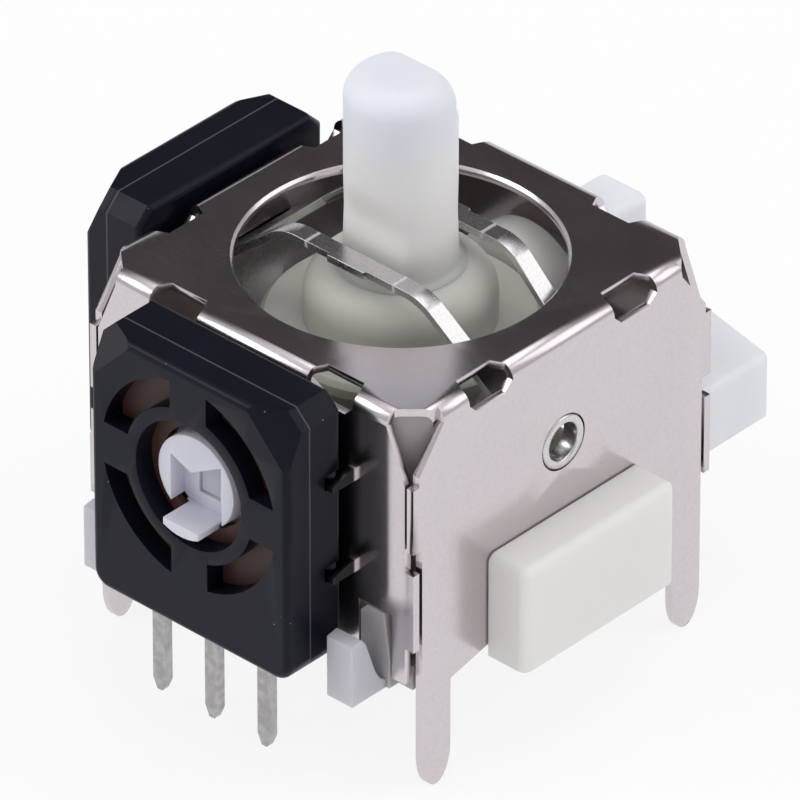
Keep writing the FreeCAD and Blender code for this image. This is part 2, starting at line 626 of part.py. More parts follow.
skirt = bevelled("skirt", cylinder("skirt_sharp", "Z", S.skirt_radius,
                                  S.skirt_top - S.skirt_thick, S.skirt_top),
                S.skirt_thick / 3, lambda edge: at(edge, "Z", S.skirt_top))
stem = cylinder("stem", "Z", S.stem_radius, S.stem_low, S.skirt_top)
collars = cylinder("collars", "X", S.collar_radius, -S.arm_inner + S.side_gap,
                   S.arm_inner - S.side_gap, z=axis_z)
trunnions = cylinder("trunnions", "X", S.trunnion_radius, -S.trunnion_reach, S.trunnion_reach,
                     z=axis_z)
barrel = cylinder("barrel", "Z", S.barrel_radius, S.stem_low - 1, S.barrel_top)
node(cut("stick_cut", fuse("stick_solid", shaft_flat, dome, skirt, stem, collars, trunnions),
         barrel), "stick")


blade_end = S.rotor_face - S.jaw_depth - S.side_gap
journal_end = S.rotor_rear - S.side_gap


# The lower yoke: a moulded frame round the hub that turns about the Y axis.
arm = box("arm", (S.arm_inner, S.arm_outer), (-S.ear_outer, S.ear_outer), (S.arm_low, S.arm_top))
eye = cylinder("eye", "X", S.eye_radius, S.arm_inner, S.arm_outer, z=axis_z)
arms = both_sides("arms", fuse("arm_eye", arm, eye), X_AXIS)
end_bar = box("end_bar", (-S.arm_outer, S.arm_outer), (S.ear_inner, S.ear_outer),
              (S.arm_low, S.arm_top))
end_ear = cylinder("end_ear", "Y", S.ear_radius, S.ear_inner, S.ear_outer, z=axis_z)
ends = both_sides("ends", fuse("end_pair", end_bar, end_ear), Y_AXIS)
drive_journal = cylinder("drive_journal", "Y", S.drive_radius, -journal_end, -S.ear_outer + 0.2,
                         z=axis_z)
drive_blade = box("drive_blade", (-S.blade_half, S.blade_half), (-blade_end, -S.ear_outer),
                  (axis_z - S.blade_tall, axis_z + S.blade_tall))
push_journal = cylinder("push_journal", "Y", S.push_radius, S.ear_outer - 0.2, S.push_reach,
                        z=axis_z)
eye_bore = cylinder("eye_bore", "X", S.trunnion_radius + S.pin_gap, -S.arm_outer - 1,
                    S.arm_outer + 1, z=axis_z)
node(cut("yoke_cut", fuse("yoke_solid", arms, ends, drive_journal, drive_blade, push_journal),
         eye_bore), "lower_yoke")


# The steel arch: a slotted strip folded over the hub that turns about the X axis.
arch_side = wall_inner - S.arch_gap
slope = math.atan2(S.arch_top.value - S.arch_knee.value, arch_side.value - S.arch_flat.value)
top_corner = S.arch_sheet * math.tan(slope / 2)
side_corner = S.arch_sheet * math.tan(math.pi / 4 - slope / 2)
arch_foot = axis_z - S.arch_eye
arch_foot_half = S.arch_half - S.arch_taper
over = [(arch_side, arch_foot), (arch_side, S.arch_knee), (S.arch_flat, S.arch_top)]
under = [(S.arch_flat - top_corner, S.arch_top - S.arch_sheet),
         (arch_side - S.arch_sheet, S.arch_knee - side_corner),
         (arch_side - S.arch_sheet, arch_foot)]
half_outline = over + [(0, S.arch_top), (0, S.arch_top - S.arch_sheet)] + under
arch_half_strip = prism("arch_half_strip", "XZ", half_outline, -S.arch_half - 1,
                        S.arch_half + 1)
arch_strip = both_sides("arch_strip", arch_half_strip, X_AXIS)
arch_outline = fuse(
    "arch_plan",
    prism("arch_front", "YZ",
          [(-S.arch_half, above + 1), (-S.arch_half, S.arch_top), (-arch_foot_half, S.arch_knee),
           (-S.arch_eye, axis_z), (S.arch_eye, axis_z), (arch_foot_half, S.arch_knee),
           (S.arch_half, S.arch_top), (S.arch_half, above + 1)],
          -beyond, beyond),
    cylinder("arch_ends", "X", S.arch_eye, -beyond, beyond, z=axis_z),
    both_sides("rail_steps", box("rail_step", (S.step_start, S.step_end),
                                 (S.arch_half - 0.5, S.arch_half + S.rail_step),
                                 (S.arch_top - 1, S.arch_top + 1)), Y_AXIS))
arch_bent = common("arch_bent", arch_strip, arch_outline)
slot_end_half = S.slot_half - S.slot_taper
arch_slot = prism("arch_slot", "XY",
                  [(S.slot_reach, -slot_end_half), (S.slot_reach, slot_end_half),
                   (S.arch_flat, S.slot_half), (-S.arch_flat, S.slot_half),
                   (-S.slot_reach, slot_end_half), (-S.slot_reach, -slot_end_half),
                   (-S.arch_flat, -S.slot_half), (S.arch_flat, -S.slot_half)],
                  axis_z, S.arch_top + 1)
journals = cylinder("arch_journals", "X", S.ring_radius, -journal_end, wall + S.ring_proud,
                    z=axis_z)
journal_gap = box("journal_gap", (-arch_side + S.arch_sheet, arch_side - S.arch_sheet),
                  (-2 * S.ring_radius, 2 * S.ring_radius),
                  (axis_z - 2 * S.ring_radius, axis_z + 2 * S.ring_radius))
journal_ends = cut("journal_ends", journals, journal_gap)
arch_blade = box("arch_blade", (-blade_end, -arch_side), (-S.blade_half, S.blade_half),
                 (axis_z - S.blade_tall, axis_z + S.blade_tall))
ring_bore = cylinder("ring_bore", "X", S.ring_bore, arch_side - S.arch_sheet - 1,
                     wall + S.ring_proud + 1, z=axis_z)
node(cut("arch_cut", fuse("arch_solid", cut("arch_slotted", arch_bent, arch_slot),
                          journal_ends, arch_blade), ring_bore), "arch_yoke")


rib_place = S.lever_reach - S.rib_inset


# The press saddle: the bearing block in the +Y wall that goes down when the stick is pressed.
saddle_crown = rounded(
    "saddle_crown", box("saddle_sharp", (-S.saddle_half, S.saddle_half),
                        (wall + 2 * S.side_gap, S.saddle_reach), (S.saddle_low, S.saddle_top)),
    S.saddle_crown, lambda edge: at(edge, "Z", S.saddle_top) and (
        at(edge, "X", S.saddle_half) or at(edge, "X", -S.saddle_half)))
saddle_block = rounded("saddle_block", saddle_crown, S.saddle_round,
                       lambda edge: at(edge, "Y", S.saddle_reach))
saddle_neck = box("saddle_neck", (-S.saddle_half, S.saddle_half),
                  (wall_inner - S.side_gap, wall + 3 * S.side_gap),
                  (S.saddle_low + S.side_gap, S.saddle_neck))
saddle_flange = box("saddle_flange", (-S.saddle_flange, S.saddle_flange),
                    (S.ear_outer + S.side_gap, wall_inner - S.side_gap),
                    (S.saddle_low, S.saddle_neck + S.side_gap))
saddle_bore = cylinder("saddle_bore", "Y", S.push_radius + S.pin_gap, S.ear_outer,
                       S.push_reach + S.side_gap, z=axis_z)
node(cut("saddle_cut", fuse("saddle_solid", saddle_block, saddle_neck, saddle_flange),
         saddle_bore), "press_saddle")


# The push lever: a bar outside the +Y wall that the saddle presses onto a switch.
lever_outline = [
    (-S.lever_half, S.lever_low), (S.lever_half, S.lever_low), (S.lever_half, S.lever_end),
    (S.pocket_half, S.lever_mid), (S.pocket_half, S.pocket_floor),
    (-S.pocket_half, S.pocket_floor), (-S.pocket_half, S.lever_mid), (-S.lever_half, S.lever_end)]
lever_bar = prism("lever_bar", "XZ", lever_outline, S.lever_near, S.lever_reach)
lever_round = rounded("lever_round", lever_bar, S.lever_round,
                      lambda edge: (at(edge, "Y", S.lever_reach) and edge.Length > 4
                                    and not at(edge, "Z", S.lever_low))
                      or ((at(edge, "X", S.lever_half) or at(edge, "X", -S.lever_half))
                          and not at(edge, "Z", S.lever_low)))
rib_top = S.saddle_low - S.push_gap
rib_post = box("rib_post", (-S.pocket_half, S.pocket_half),
               (rib_place - S.rib_half, rib_place + S.rib_half),
               (S.pocket_floor - 0.3, rib_top - S.rib_half))
rib_crown = cylinder("rib_crown", "X", S.rib_half, -S.pocket_half, S.pocket_half,
                     y=rib_place, z=rib_top - S.rib_half)
lever_arm = box("lever_arm", (S.lever_arm_inner, S.lever_arm_outer),
                (S.hinge_place, S.lever_near + 0.5),
                (S.hinge_height - S.lever_arm_half, S.hinge_height + S.lever_arm_half))
lever_eye = cylinder("lever_eye", "X", S.lever_arm_half, S.lever_arm_inner, S.lever_arm_outer,
                     y=S.hinge_place, z=S.hinge_height)
lever_pin = cylinder("lever_pin", "X", S.hinge_radius, S.lever_arm_inner,
                     S.post_outer - S.side_gap, y=S.hinge_place, z=S.hinge_height)
lever_arms = both_sides("lever_arms", fuse("lever_arm_pin", lever_arm, lever_eye, lever_pin),
                        X_AXIS)
lever_pad = box("lever_pad", (-S.nub_half, S.nub_half),
                (rib_place - S.nub_half, rib_place + S.nub_half),
                (S.lever_low - S.nub_drop, S.lever_low + 0.3))
node(fuse("lever_solid", lever_round, rib_post, rib_crown, lever_arms, lever_pad), "push_lever")


# The centring plunger and its spring, inside the stick's hub.
nose_centre = axis_z - S.bowl_radius + S.bowl_gap + S.nose_radius
plunger_barrel = cylinder("plunger_barrel", "Z", S.plunger_radius, S.plunger_low, S.plunger_top)
plunger_neck = cone("plunger_neck", "Z", S.nose_radius, S.nose_root, nose_centre, S.plunger_low)
plunger_nose = sphere("plunger_nose", S.nose_radius, z=nose_centre)
plunger_bore = cylinder("plunger_bore", "Z", S.plunger_bore, S.plunger_seat, S.plunger_top + 1)
node(cut("plunger_cut", fuse("plunger_solid", plunger_barrel, plunger_neck, plunger_nose),
         plunger_bore), "centring_plunger")

spring_low = S.plunger_seat + S.wire_radius + S.seat_gap
spring_high = S.barrel_top - S.wire_radius - S.seat_gap
coil = doc.addObject("Part::Helix", "coil")
bind(coil, "Pitch", S.coil_pitch)
bind(coil, "Height", spring_high - spring_low)
bind(coil, "Radius", S.coil_radius)
place(coil, 0, 0, spring_low)
wire = doc.addObject("Part::RegularPolygon", "wire")
wire.Polygon = 8
bind(wire, "Circumradius", S.wire_radius)
wire.Placement = FreeCAD.Placement(FreeCAD.Vector(), TURN["XZ"])
place(wire, S.coil_radius, 0, spring_low)
doc.recompute()
spring = doc.addObject("Part::Sweep", "spring_sweep")
spring.Sections = [wire]
spring.Spine = (coil, [])
spring.Solid = True
spring.Frenet = True
node(spring, "return_spring")


# A rotary resistor: cover, tray, board, rotor, wiper and three terminals, built on -Y.
def corner_facet(name, side):
    """The space outside the slanted facet on one upper corner of a cover."""
    across, deep, tall = S.facet_across.value, S.facet_deep.value, S.facet_tall.value
    corner = FreeCAD.Vector(side * S.pot_half.value, -S.pot_face.value, S.pot_top.value)
    outward = FreeCAD.Vector(side / across, -1 / deep, 1 / tall)
    turn = FreeCAD.Rotation(FreeCAD.Vector(0, 0, 1), outward)
    reach = 2 * (across + tall)
    middle = corner - FreeCAD.Vector(side * across, -deep, tall) / 3
    space = doc.addObject("Part::Box", name)
    for prop in ("Length", "Width", "Height"):
        bind(space, prop, reach)
    space.Placement = FreeCAD.Placement(
        middle - turn.multVec(FreeCAD.Vector(reach / 2, reach / 2, 0)), turn)
    return space


def resistor(letter, turn):
    """Build one resistor; turn carries it from the -Y wall to its own wall."""
    def named(text):
        return "pot_%s_%s" % (letter, text)

    def finish(obj, text):
        obj.Placement = FreeCAD.Placement(FreeCAD.Vector(), turn)
        node(obj, named(text))

    board_face = S.pot_face - S.face_thick
    board_back = board_face - S.board_thick
    cavity_half = S.pot_half - S.pot_wall
    cavity_low = S.pot_low + S.pot_wall
    cavity_top = S.pot_top - S.pot_wall
    steps = list(enumerate((-1, 0, 1), start=1))

    def upright(edge):
        return at(edge, "X", S.pot_half) or at(edge, "X", -S.pot_half)

    block = box(named("block"), (-S.pot_half, S.pot_half), (-S.pot_face, -S.pot_back),
                (S.pot_low, S.pot_top))
    shouldered = bevelled(named("shouldered"), block, S.pot_shoulder,
                          lambda edge: at(edge, "Z", S.pot_top) and upright(edge))
    cornered = rounded(named("cornered"), shouldered, S.pot_corner,
                       lambda edge: at(edge, "Z", S.pot_low) and upright(edge))
    case = rounded(named("case"), cornered, S.pot_round,
                   lambda edge: at(edge, "Y", -S.pot_face) or at(edge, "Y", -S.pot_back))

    front = box(named("front"), (-2 * S.pot_half, 2 * S.pot_half),
                (-S.pot_face - 1, -S.pot_split), (S.pot_low - 1, S.pot_top + 1))
    shell = common(named("shell"), case, front)
    facets = [corner_facet(named("facet_left"), -1), corner_facet(named("facet_right"), 1)]
    cavity = box(named("cavity"), (-cavity_half, cavity_half), (-board_face, -S.pot_split + 1),
                 (cavity_low, cavity_top))
    eyelet = cylinder(named("eyelet"), "Y", S.eyelet_radius, -S.pot_face - 1, -board_face + 0.1,
                      z=axis_z)
    spoke_reach = 2 * S.window_outer
    ring = cut(named("window_ring"),
               cylinder(named("window_out"), "Y", S.window_outer, -S.pot_face - 1,
                        -board_face + 0.1, z=axis_z),
               cylinder(named("window_in"), "Y", S.window_inner, -S.pot_face - 2,
                        -board_face + 1, z=axis_z),
               box(named("spoke_up"), (-S.spoke_half, S.spoke_half),
                   (-S.pot_face - 2, -board_face + 1),
                   (axis_z - spoke_reach, axis_z + spoke_reach)),
               box(named("spoke_across"), (-spoke_reach, spoke_reach),
                   (-S.pot_face - 2, -board_face + 1),
                   (axis_z - S.spoke_half, axis_z + S.spoke_half)))
    cover_slots = [
        box(named("cover_slot_%d" % number), (S.pin_pitch * step - S.pin_half,
                                              S.pin_pitch * step + S.pin_half),
            (-board_back, -board_back + S.pin_thick), (S.pot_low - 1, cavity_low + 0.1))
        for number, step in steps]
    finish(cut(named("cover_cut"), shell, cavity, eyelet, ring, *facets, *cover_slots), "cover")

    rear_half = box(named("rear_half"), (-2 * S.pot_half, 2 * S.pot_half),
                    (-S.pot_split, -S.pot_back + 1), (S.pot_low - 1, S.pot_top + 1))
    tray = common(named("tray_block"), case, rear_half)
    tray_hollow = cylinder(named("tray_hollow"), "Y", S.rotor_disc + 2 * S.side_gap,
                           -S.pot_split - 1, -S.pot_back - S.back_thick, z=axis_z)
    tray_bore = cylinder(named("tray_bore"), "Y", S.rotor_boss + S.pin_gap, -S.pot_split,
                         -S.pot_back + 1, z=axis_z)
    grips = both_sides(named("grips"), fuse(named("grip_pair"), *[
        box(named("grip_%d" % number), (S.pot_half - S.grip_depth, S.pot_half + 1),
            (-grip_end, -S.pot_back + 1), (low, low + S.grip_tall))
        for number, low in enumerate((S.grip_high, S.grip_low), start=1)]), X_AXIS)
    tray_slots = [
        box(named("tray_slot_%d" % number), (S.pin_pitch * step - S.pin_half,
                                             S.pin_pitch * step + S.pin_half),
            (-S.pot_split - 0.1, -board_back + S.pin_thick), (S.pot_low - 1, S.pin_high))
        for number, step in steps]
    finish(cut(named("tray_cut"), tray, tray_hollow, tray_bore, grips, *tray_slots), "tray")

    board = box(named("board_blank"), (-cavity_half + S.board_gap, cavity_half - S.board_gap),
                (-board_face, -board_back), (cavity_low + S.board_gap, cavity_top - S.board_gap))
    board_hole = cylinder(named("board_hole"), "Y", S.board_bore, -S.pot_face, -S.pot_split,
                          z=axis_z)
    finish(cut(named("board_cut"), board, board_hole), "board")

    hub = cylinder(named("hub"), "Y", S.rotor_radius, -S.rotor_face, -S.disc_back, z=axis_z)
    disc = cylinder(named("disc"), "Y", S.rotor_disc, -S.disc_face, -S.disc_back, z=axis_z)
    rear = cylinder(named("rear"), "Y", S.rotor_boss, -S.disc_back - 0.2, -S.rotor_rear, z=axis_z)
    pocket_back = -S.rotor_face + S.jaw_depth
    pocket = prism(named("pocket"), "XZ",
                   [(-S.jaw_half, axis_z + S.jaw_low), (S.jaw_half, axis_z + S.jaw_low),
                    (S.jaw_half, axis_z + S.jaw_right), (-S.jaw_notch, axis_z + S.jaw_notch),
                    (-S.jaw_half, axis_z + S.jaw_left)],
                   -S.rotor_face - 1, pocket_back)
    slits = both_sides(named("slits"), box(
        named("slit"), (S.lug_half, S.rotor_radius + 1),
        (-S.rotor_face - 1, -S.rotor_face + S.slit_depth),
        (axis_z - S.slit_low, axis_z - S.slit_high)), X_AXIS)
    lug = common(named("lug"),
                 box(named("lug_block"), (-S.lug_half, S.lug_half),
                     (-S.rotor_face - S.lug_proud, -board_face - S.side_gap),
                     (axis_z - S.lug_low - 1, axis_z + S.jaw_low)),
                 cylinder(named("lug_round"), "Y", S.lug_low, -S.pot_face - 1, -board_face,
                          z=axis_z))
    drive = box(named("drive"), (-S.blade_half - S.pin_gap, S.blade_half + S.pin_gap),
                (pocket_back - S.side_gap, -S.pot_back + 1),
                (axis_z - S.blade_tall - S.side_gap, axis_z + S.blade_tall + S.side_gap))
    finish(cut(named("rotor_cut"), fuse(named("rotor_solid"),
                                        cut(named("hub_slit"), hub, slits), disc, rear, lug),
               drive, pocket), "rotor")

    wiper = cylinder(named("wiper_disc"), "Y", S.wiper_outer, -S.disc_face - S.wiper_thick,
                     -S.disc_face, z=axis_z)
    wiper_hole = cylinder(named("wiper_hole"), "Y", S.wiper_inner, -S.disc_face - 1,
                          -S.disc_face + 1, z=axis_z)
    contact_gap = board_back - S.disc_face - S.wiper_thick
    contact = cone(named("contact"), "Y", S.wiper_thick, 2 * S.wiper_thick,
                   -board_back + contact_gap * 0.1, -S.disc_face - S.wiper_thick / 2,
                   z=axis_z + (S.wiper_outer + S.wiper_inner) / 2)
    finish(fuse(named("wiper_solid"), cut(named("wiper_ring"), wiper, wiper_hole), contact),
           "wiper")

    for number, step in steps:
        middle = S.pin_pitch * step
        pin = prism(named("pin_%d_bar" % number), "XZ",
                    [(middle - S.pin_half, S.pin_high), (middle + S.pin_half, S.pin_high),
                     (middle + S.pin_half, S.pin_point - S.pin_low),
                     (middle + S.pin_tip, -S.pin_low), (middle - S.pin_tip, -S.pin_low),
                     (middle - S.pin_half, S.pin_point - S.pin_low)],
                    -board_back, -board_back + S.pin_thick)
        finish(pin, "terminal_%d" % number)


resistor("a", FreeCAD.Rotation())
resistor("b", FreeCAD.Rotation(FreeCAD.Vector(0, 0, 1), -90))


doc.recompute()
faults = [obj.Name for obj in doc.Objects
          if "Invalid" in obj.State or "Error" in obj.State]
if faults:
    raise RuntimeError("objects that failed: %s" % ", ".join(faults))
for obj in NODES:
    shape = obj.Shape
    if shape.isNull() or not shape.isValid() or len(shape.Solids) != 1:
        raise RuntimeError("%s isn't one sound solid" % obj.Label)
for obj in NODES:
    obj.Shape.exportStep("parts/%s.step" % obj.Label)
    print("%-20s %9.3f mm3" % (obj.Label, obj.Shape.Volume))
print("%d pieces" % len(NODES))
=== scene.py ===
# %% [markdown]
# This scene dresses a thumb-stick module: a folded steel frame, white acetal mouldings,
# two black rotary resistors and a sprung steel arch. The solids come ready made from
# the CAD model, so they are loaded first and kept as a fixed frame. Three of them are
# then shown in a truer form, and every piece gets its finish and softened edges.

# %% Load the solids
import json
import math

import bmesh
import bpy
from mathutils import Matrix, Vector


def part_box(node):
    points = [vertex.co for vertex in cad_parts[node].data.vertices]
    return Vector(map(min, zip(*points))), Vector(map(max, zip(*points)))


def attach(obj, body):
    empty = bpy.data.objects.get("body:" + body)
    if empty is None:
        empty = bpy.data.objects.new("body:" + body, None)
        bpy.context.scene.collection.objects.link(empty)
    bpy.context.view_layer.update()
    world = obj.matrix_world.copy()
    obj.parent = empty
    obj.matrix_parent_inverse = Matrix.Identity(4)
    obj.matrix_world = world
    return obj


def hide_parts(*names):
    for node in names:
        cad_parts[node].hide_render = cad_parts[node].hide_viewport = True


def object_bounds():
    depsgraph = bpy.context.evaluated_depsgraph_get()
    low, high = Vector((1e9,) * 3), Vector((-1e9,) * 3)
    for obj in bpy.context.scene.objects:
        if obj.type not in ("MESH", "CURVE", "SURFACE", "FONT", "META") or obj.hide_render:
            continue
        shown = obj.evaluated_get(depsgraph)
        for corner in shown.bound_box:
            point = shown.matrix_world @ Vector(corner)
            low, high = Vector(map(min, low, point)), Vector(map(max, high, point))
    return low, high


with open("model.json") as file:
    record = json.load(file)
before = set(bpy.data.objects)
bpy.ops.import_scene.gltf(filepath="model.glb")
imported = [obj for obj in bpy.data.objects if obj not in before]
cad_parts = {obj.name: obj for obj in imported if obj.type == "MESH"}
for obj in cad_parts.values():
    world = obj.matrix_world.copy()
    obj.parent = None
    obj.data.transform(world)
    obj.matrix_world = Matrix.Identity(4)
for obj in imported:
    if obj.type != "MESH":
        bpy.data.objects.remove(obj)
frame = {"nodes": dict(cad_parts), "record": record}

MM = 0.001
cad_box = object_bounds()
nodes = frame["nodes"]
print("solids:", len(nodes), "box:", [[round(x / MM, 2) for x in corner] for corner in cad_box])

# %% [markdown]
# The photograph was taken from above the front corner with a long lens, so the upright
# edges stay parallel. A camera half a metre away with a 644 mm lens gives the same flat
# perspective. It is placed by three directions: back towards the photographer, right and
# up, which also carry the small offset of the object from the middle of the picture.

# %% Camera
AZIMUTH, ELEVATION = math.radians(42.734), math.radians(34.112)
DISTANCE, AIM_HEIGHT = 500 * MM, 5 * MM
MOVE_RIGHT, MOVE_UP = -0.030 * MM, 0.192 * MM
SENSOR, LENS = 36, 644.3

back = Vector((math.sin(AZIMUTH) * math.cos(ELEVATION),
               -math.cos(AZIMUTH) * math.cos(ELEVATION),
               math.sin(ELEVATION)))
right = Vector((math.cos(AZIMUTH), math.sin(AZIMUTH), 0))
up = back.cross(right)

camera = bpy.data.objects.new("camera", bpy.data.cameras.new("camera"))
bpy.context.scene.collection.objects.link(camera)
camera.data.sensor_width, camera.data.lens = SENSOR, LENS
camera.data.clip_start, camera.data.clip_end = 0.01, 10
camera.location = (Vector((0, 0, AIM_HEIGHT)) + back * DISTANCE
                   + right * MOVE_RIGHT + up * MOVE_UP)
camera.rotation_mode = "QUATERNION"
camera.rotation_quaternion = (-back).to_track_quat("-Z", "Y")
bpy.context.scene.camera = camera
print("camera at", [round(x, 4) for x in camera.location])

# %% [markdown]
# A shader is easier to read as a formula than as a web of nodes. This small class wraps
# the output of a node, so that a sum or product written in Python adds the Math node
# that does it. Colours and vectors have calls of their own, because a Math node would
# turn a colour grey.

# %% A socket that can be calculated with
class Wire:
    """The output of a shader node, for use in sums and products."""

    def __init__(self, home, socket):
        self.home, self.socket = home, socket

    def math(self, operation, first, second=0.0):
        return self.home.add("Math", {"operation": operation}, {0: first, 1: second})

    def __add__(self, other):
        return self.math("ADD", self, other)

    def __radd__(self, other):
        return self.math("ADD", other, self)

    def __sub__(self, other):
        return self.math("SUBTRACT", self, other)

    def __rsub__(self, other):
        return self.math("SUBTRACT", other, self)

    def __mul__(self, other):
        return self.math("MULTIPLY", self, other)

    def __rmul__(self, other):
        return self.math("MULTIPLY", other, self)

    def __gt__(self, other):
        return self.math("GREATER_THAN", self, other)

    def size(self):
        return self.math("ABSOLUTE", self)

    def least(self, other):
        return self.math("MINIMUM", self, other)

    def most(self, other):
        return self.math("MAXIMUM", self, other)

    def part(self, name):
        """One axis of a vector: X, Y or Z."""
        return self.home.add("SeparateXYZ", {}, {0: self}, name)

    def smooth(self, low, high):
        """0 below low, 1 above high and a soft step between them."""
        return self.home.add("MapRange", {"interpolation_type": "SMOOTHSTEP"},
                             {0: self, 1: low, 2: high})


print("sums for shaders are ready")

# %% [markdown]
# A finish is one material with one principled shader. Lengths inside a finish are in
# millimetres on the resting object: the object coordinates of every solid are its place
# in the model, so a pattern has its true size and stays on the piece when it moves. The
# room around the object is a tree of nodes too, so what both need comes first.

# %% A finish under construction
class Nodes:
    """A node tree, with one method that adds any node."""

    def __init__(self, tree):
        self.tree = tree

    def add(self, kind, settings, inputs, output=0):
        """Add any node: settings first, then the values or wires of its sockets."""
        node = self.tree.nodes.new("ShaderNode" + kind)
        for name, value in settings.items():
            setattr(node, name, value)
        for key, value in inputs.items():
            if isinstance(value, Wire):
                self.tree.links.new(value.socket, node.inputs[key])
            else:
                node.inputs[key].default_value = value
        return Wire(self, node.outputs[output])

    def blend(self, share, first, second):
        """Mix two colours; share may be a wire."""
        return self.add("Mix", {"data_type": "RGBA"}, {0: share, 6: first, 7: second}, 2)


class Paint(Nodes):
    """A material with one principled shader and the nodes that feed it."""

    def __init__(self, name, **constants):
        self.material = bpy.data.materials.new(name)
        self.material.use_nodes = True
        super().__init__(self.material.node_tree)
        self.shader = self.tree.nodes["Principled BSDF"]
        for socket, value in constants.items():
            self.shader.inputs[socket.replace("_", " ")].default_value = value
        coordinates = self.add("TexCoord", {}, {}, "Object")
        self.place = self.add("VectorMath", {"operation": "SCALE"},
                              {0: coordinates, "Scale": 1 / MM})

    def noise(self, size, detail=3.0, stretch=(1, 1, 1), rough=0.5):
        """Noise whose lumps are about size millimetres across."""
        stretched = self.add("VectorMath", {"operation": "MULTIPLY"},
                             {0: self.place, 1: stretch})
        return self.add("TexNoise", {}, {"Vector": stretched, "Scale": 1 / size,
                                         "Detail": detail, "Roughness": rough})

    def feed(self, socket, wire):
        self.tree.links.new(wire.socket, self.shader.inputs[socket])

    def bump(self, height, depth, strength=1.0):
        """Relief of depth millimetres where height goes from 0 to 1."""
        relief = self.add("Bump", {}, {"Height": height, "Distance": depth * MM,
                                       "Strength": strength})
        self.feed("Normal", relief)


def tone(red, green, blue):
    """A colour given as 0 to 255 in screen values, as the linear colour of a shader."""
    def linear(part):
        part /= 255
        return part / 12.92 if part <= 0.04045 else ((part + 0.055) / 1.055) ** 2.4
    return linear(red), linear(green), linear(blue), 1.0


print("a middle grey is", [round(part, 3) for part in tone(128, 128, 128)])

# %% [markdown]
# The frame is thin rolled sheet with a bright nickel plate. Seen close, the plate has a
# fine speckle like orange peel, grain along the rolling direction and sparse hairline
# scratches. The sheet is never quite flat either, so a very shallow swell bends the
# reflections a little. The folding drew the plate down towards its front corner and
# the walls in towards their edges. The claws that grip the resistors' cases are coloured
# dark beyond the walls.

# %% Nickel-plated sheet
ROLLED, SCRATCHED = (1, 14, 14), (0.5, 9, 4)
DRAWN_ZONE, DRAWN_DOWN = (4.5, 11.2), 225
EDGE_ZONE, EDGE_IN = (14.0, 15.0), 75
CLAW_ZONE = (-7.85, -7.72)
PLATE_RELIEF = 0.002


def plated_sheet(name, base_rough):
    """Bright plate without its colour and relief, which differ from piece to piece."""
    paint = Paint(name, Metallic=1.0)
    swell = paint.noise(3.2, detail=1)
    speckle = paint.noise(0.10, detail=4, rough=0.6)
    grain = paint.noise(0.5, detail=4, stretch=ROLLED)
    scratch = paint.noise(0.9, detail=1, stretch=SCRATCHED)
    hairline = 1 - (scratch - 0.5).size().smooth(0.0, 0.008)
    paint.shade = speckle.smooth(0.3, 0.7) * 0.5 + swell * 0.5
    paint.relief = speckle * 0.3 + grain * 0.15 - hairline * 0.3 + swell
    paint.feed("Roughness", base_rough + 0.08 * speckle + 0.05 * swell)
    return paint


frame_finish = plated_sheet("plated_frame", 0.14)
side_x, side_y = frame_finish.place.part("X"), frame_finish.place.part("Y")
drawn = ((side_x - side_y) * math.sqrt(0.5)).smooth(*DRAWN_ZONE) * DRAWN_DOWN
edges = (side_x.size() + side_y.size()).smooth(*EDGE_ZONE) * EDGE_IN
frame_finish.bump(frame_finish.relief - drawn - edges, PLATE_RELIEF, 0.55)
# the claws beyond the walls are coloured dark
claws = 1 - side_x.least(side_y).smooth(*CLAW_ZONE)
plate_shade = frame_finish.blend(frame_finish.shade, tone(202, 194, 198), tone(213, 206, 210))
frame_finish.feed("Base Color", frame_finish.blend(claws, plate_shade, tone(52, 50, 52)))
print("plated sheet with", len(frame_finish.tree.nodes), "nodes")

# %% [markdown]
# The arch has the same plate over spring steel. The fold of each rail was pressed over
# a sharp tool that left one line across the rail, 2 mm from the middle.

# %% Plated arch
FOLD_LINE, LINE_SOFT, LINE_RELIEF = 2.05, (0.04, 0.09), 6

arch_finish = plated_sheet("plated_arch", 0.2)
arch_finish.feed("Base Color", arch_finish.blend(
    arch_finish.shade, tone(200, 197, 199), tone(222, 219, 220)))
across = (arch_finish.place.part("X").size() - FOLD_LINE).size()
fold_line = 1 - across.smooth(*LINE_SOFT)
arch_finish.bump(arch_finish.relief - fold_line * LINE_RELIEF, PLATE_RELIEF, 0.6)
arch_finish.feed("Metallic", 1 - fold_line * 0.8)
print("fold lines", FOLD_LINE, "mm from the middle")

# %% [markdown]
# The white parts are moulded acetal. It is a milky plastic with a satin skin: light goes
# a little way in, so its shadows are soft, and faint flow marks cloud it.

# %% Milky acetal
def acetal(name, glow=0.35, gloss=0.38):
    """Milky plastic without its colour; shade holds the cloudy flow marks."""
    paint = Paint(name, Subsurface_Weight=glow, Subsurface_Radius=(1.0, 0.85, 0.7),
                  Subsurface_Scale=1.2 * MM, IOR=1.48)
    flow = paint.noise(2.4, detail=2, stretch=(1, 1, 0.5))
    skin = paint.noise(0.12, detail=2)
    paint.shade = flow.smooth(0.3, 0.7)
    paint.feed("Roughness", gloss + 0.10 * flow + 0.06 * skin)
    paint.bump(skin * 0.35 + flow * 0.6, 0.004, 0.5)
    return paint


def clouded_acetal(name, pale, deep, **skin):
    """Acetal in one colour, a little deeper where the flow marks are."""
    paint = acetal(name, **skin)
    paint.feed("Base Color", paint.blend(paint.shade, deep, pale))
    return paint


push_finish = clouded_acetal("lever_acetal", tone(236, 238, 242), tone(232, 234, 238))
rotor_finish = clouded_acetal("rotor_acetal", tone(215, 215, 226), tone(204, 204, 216),
                              gloss=0.3)
plunger_finish = clouded_acetal("plunger_acetal", tone(96, 96, 98), tone(82, 82, 84),
                                glow=0.1)
print("acetal with", len(push_finish.tree.nodes), "nodes")
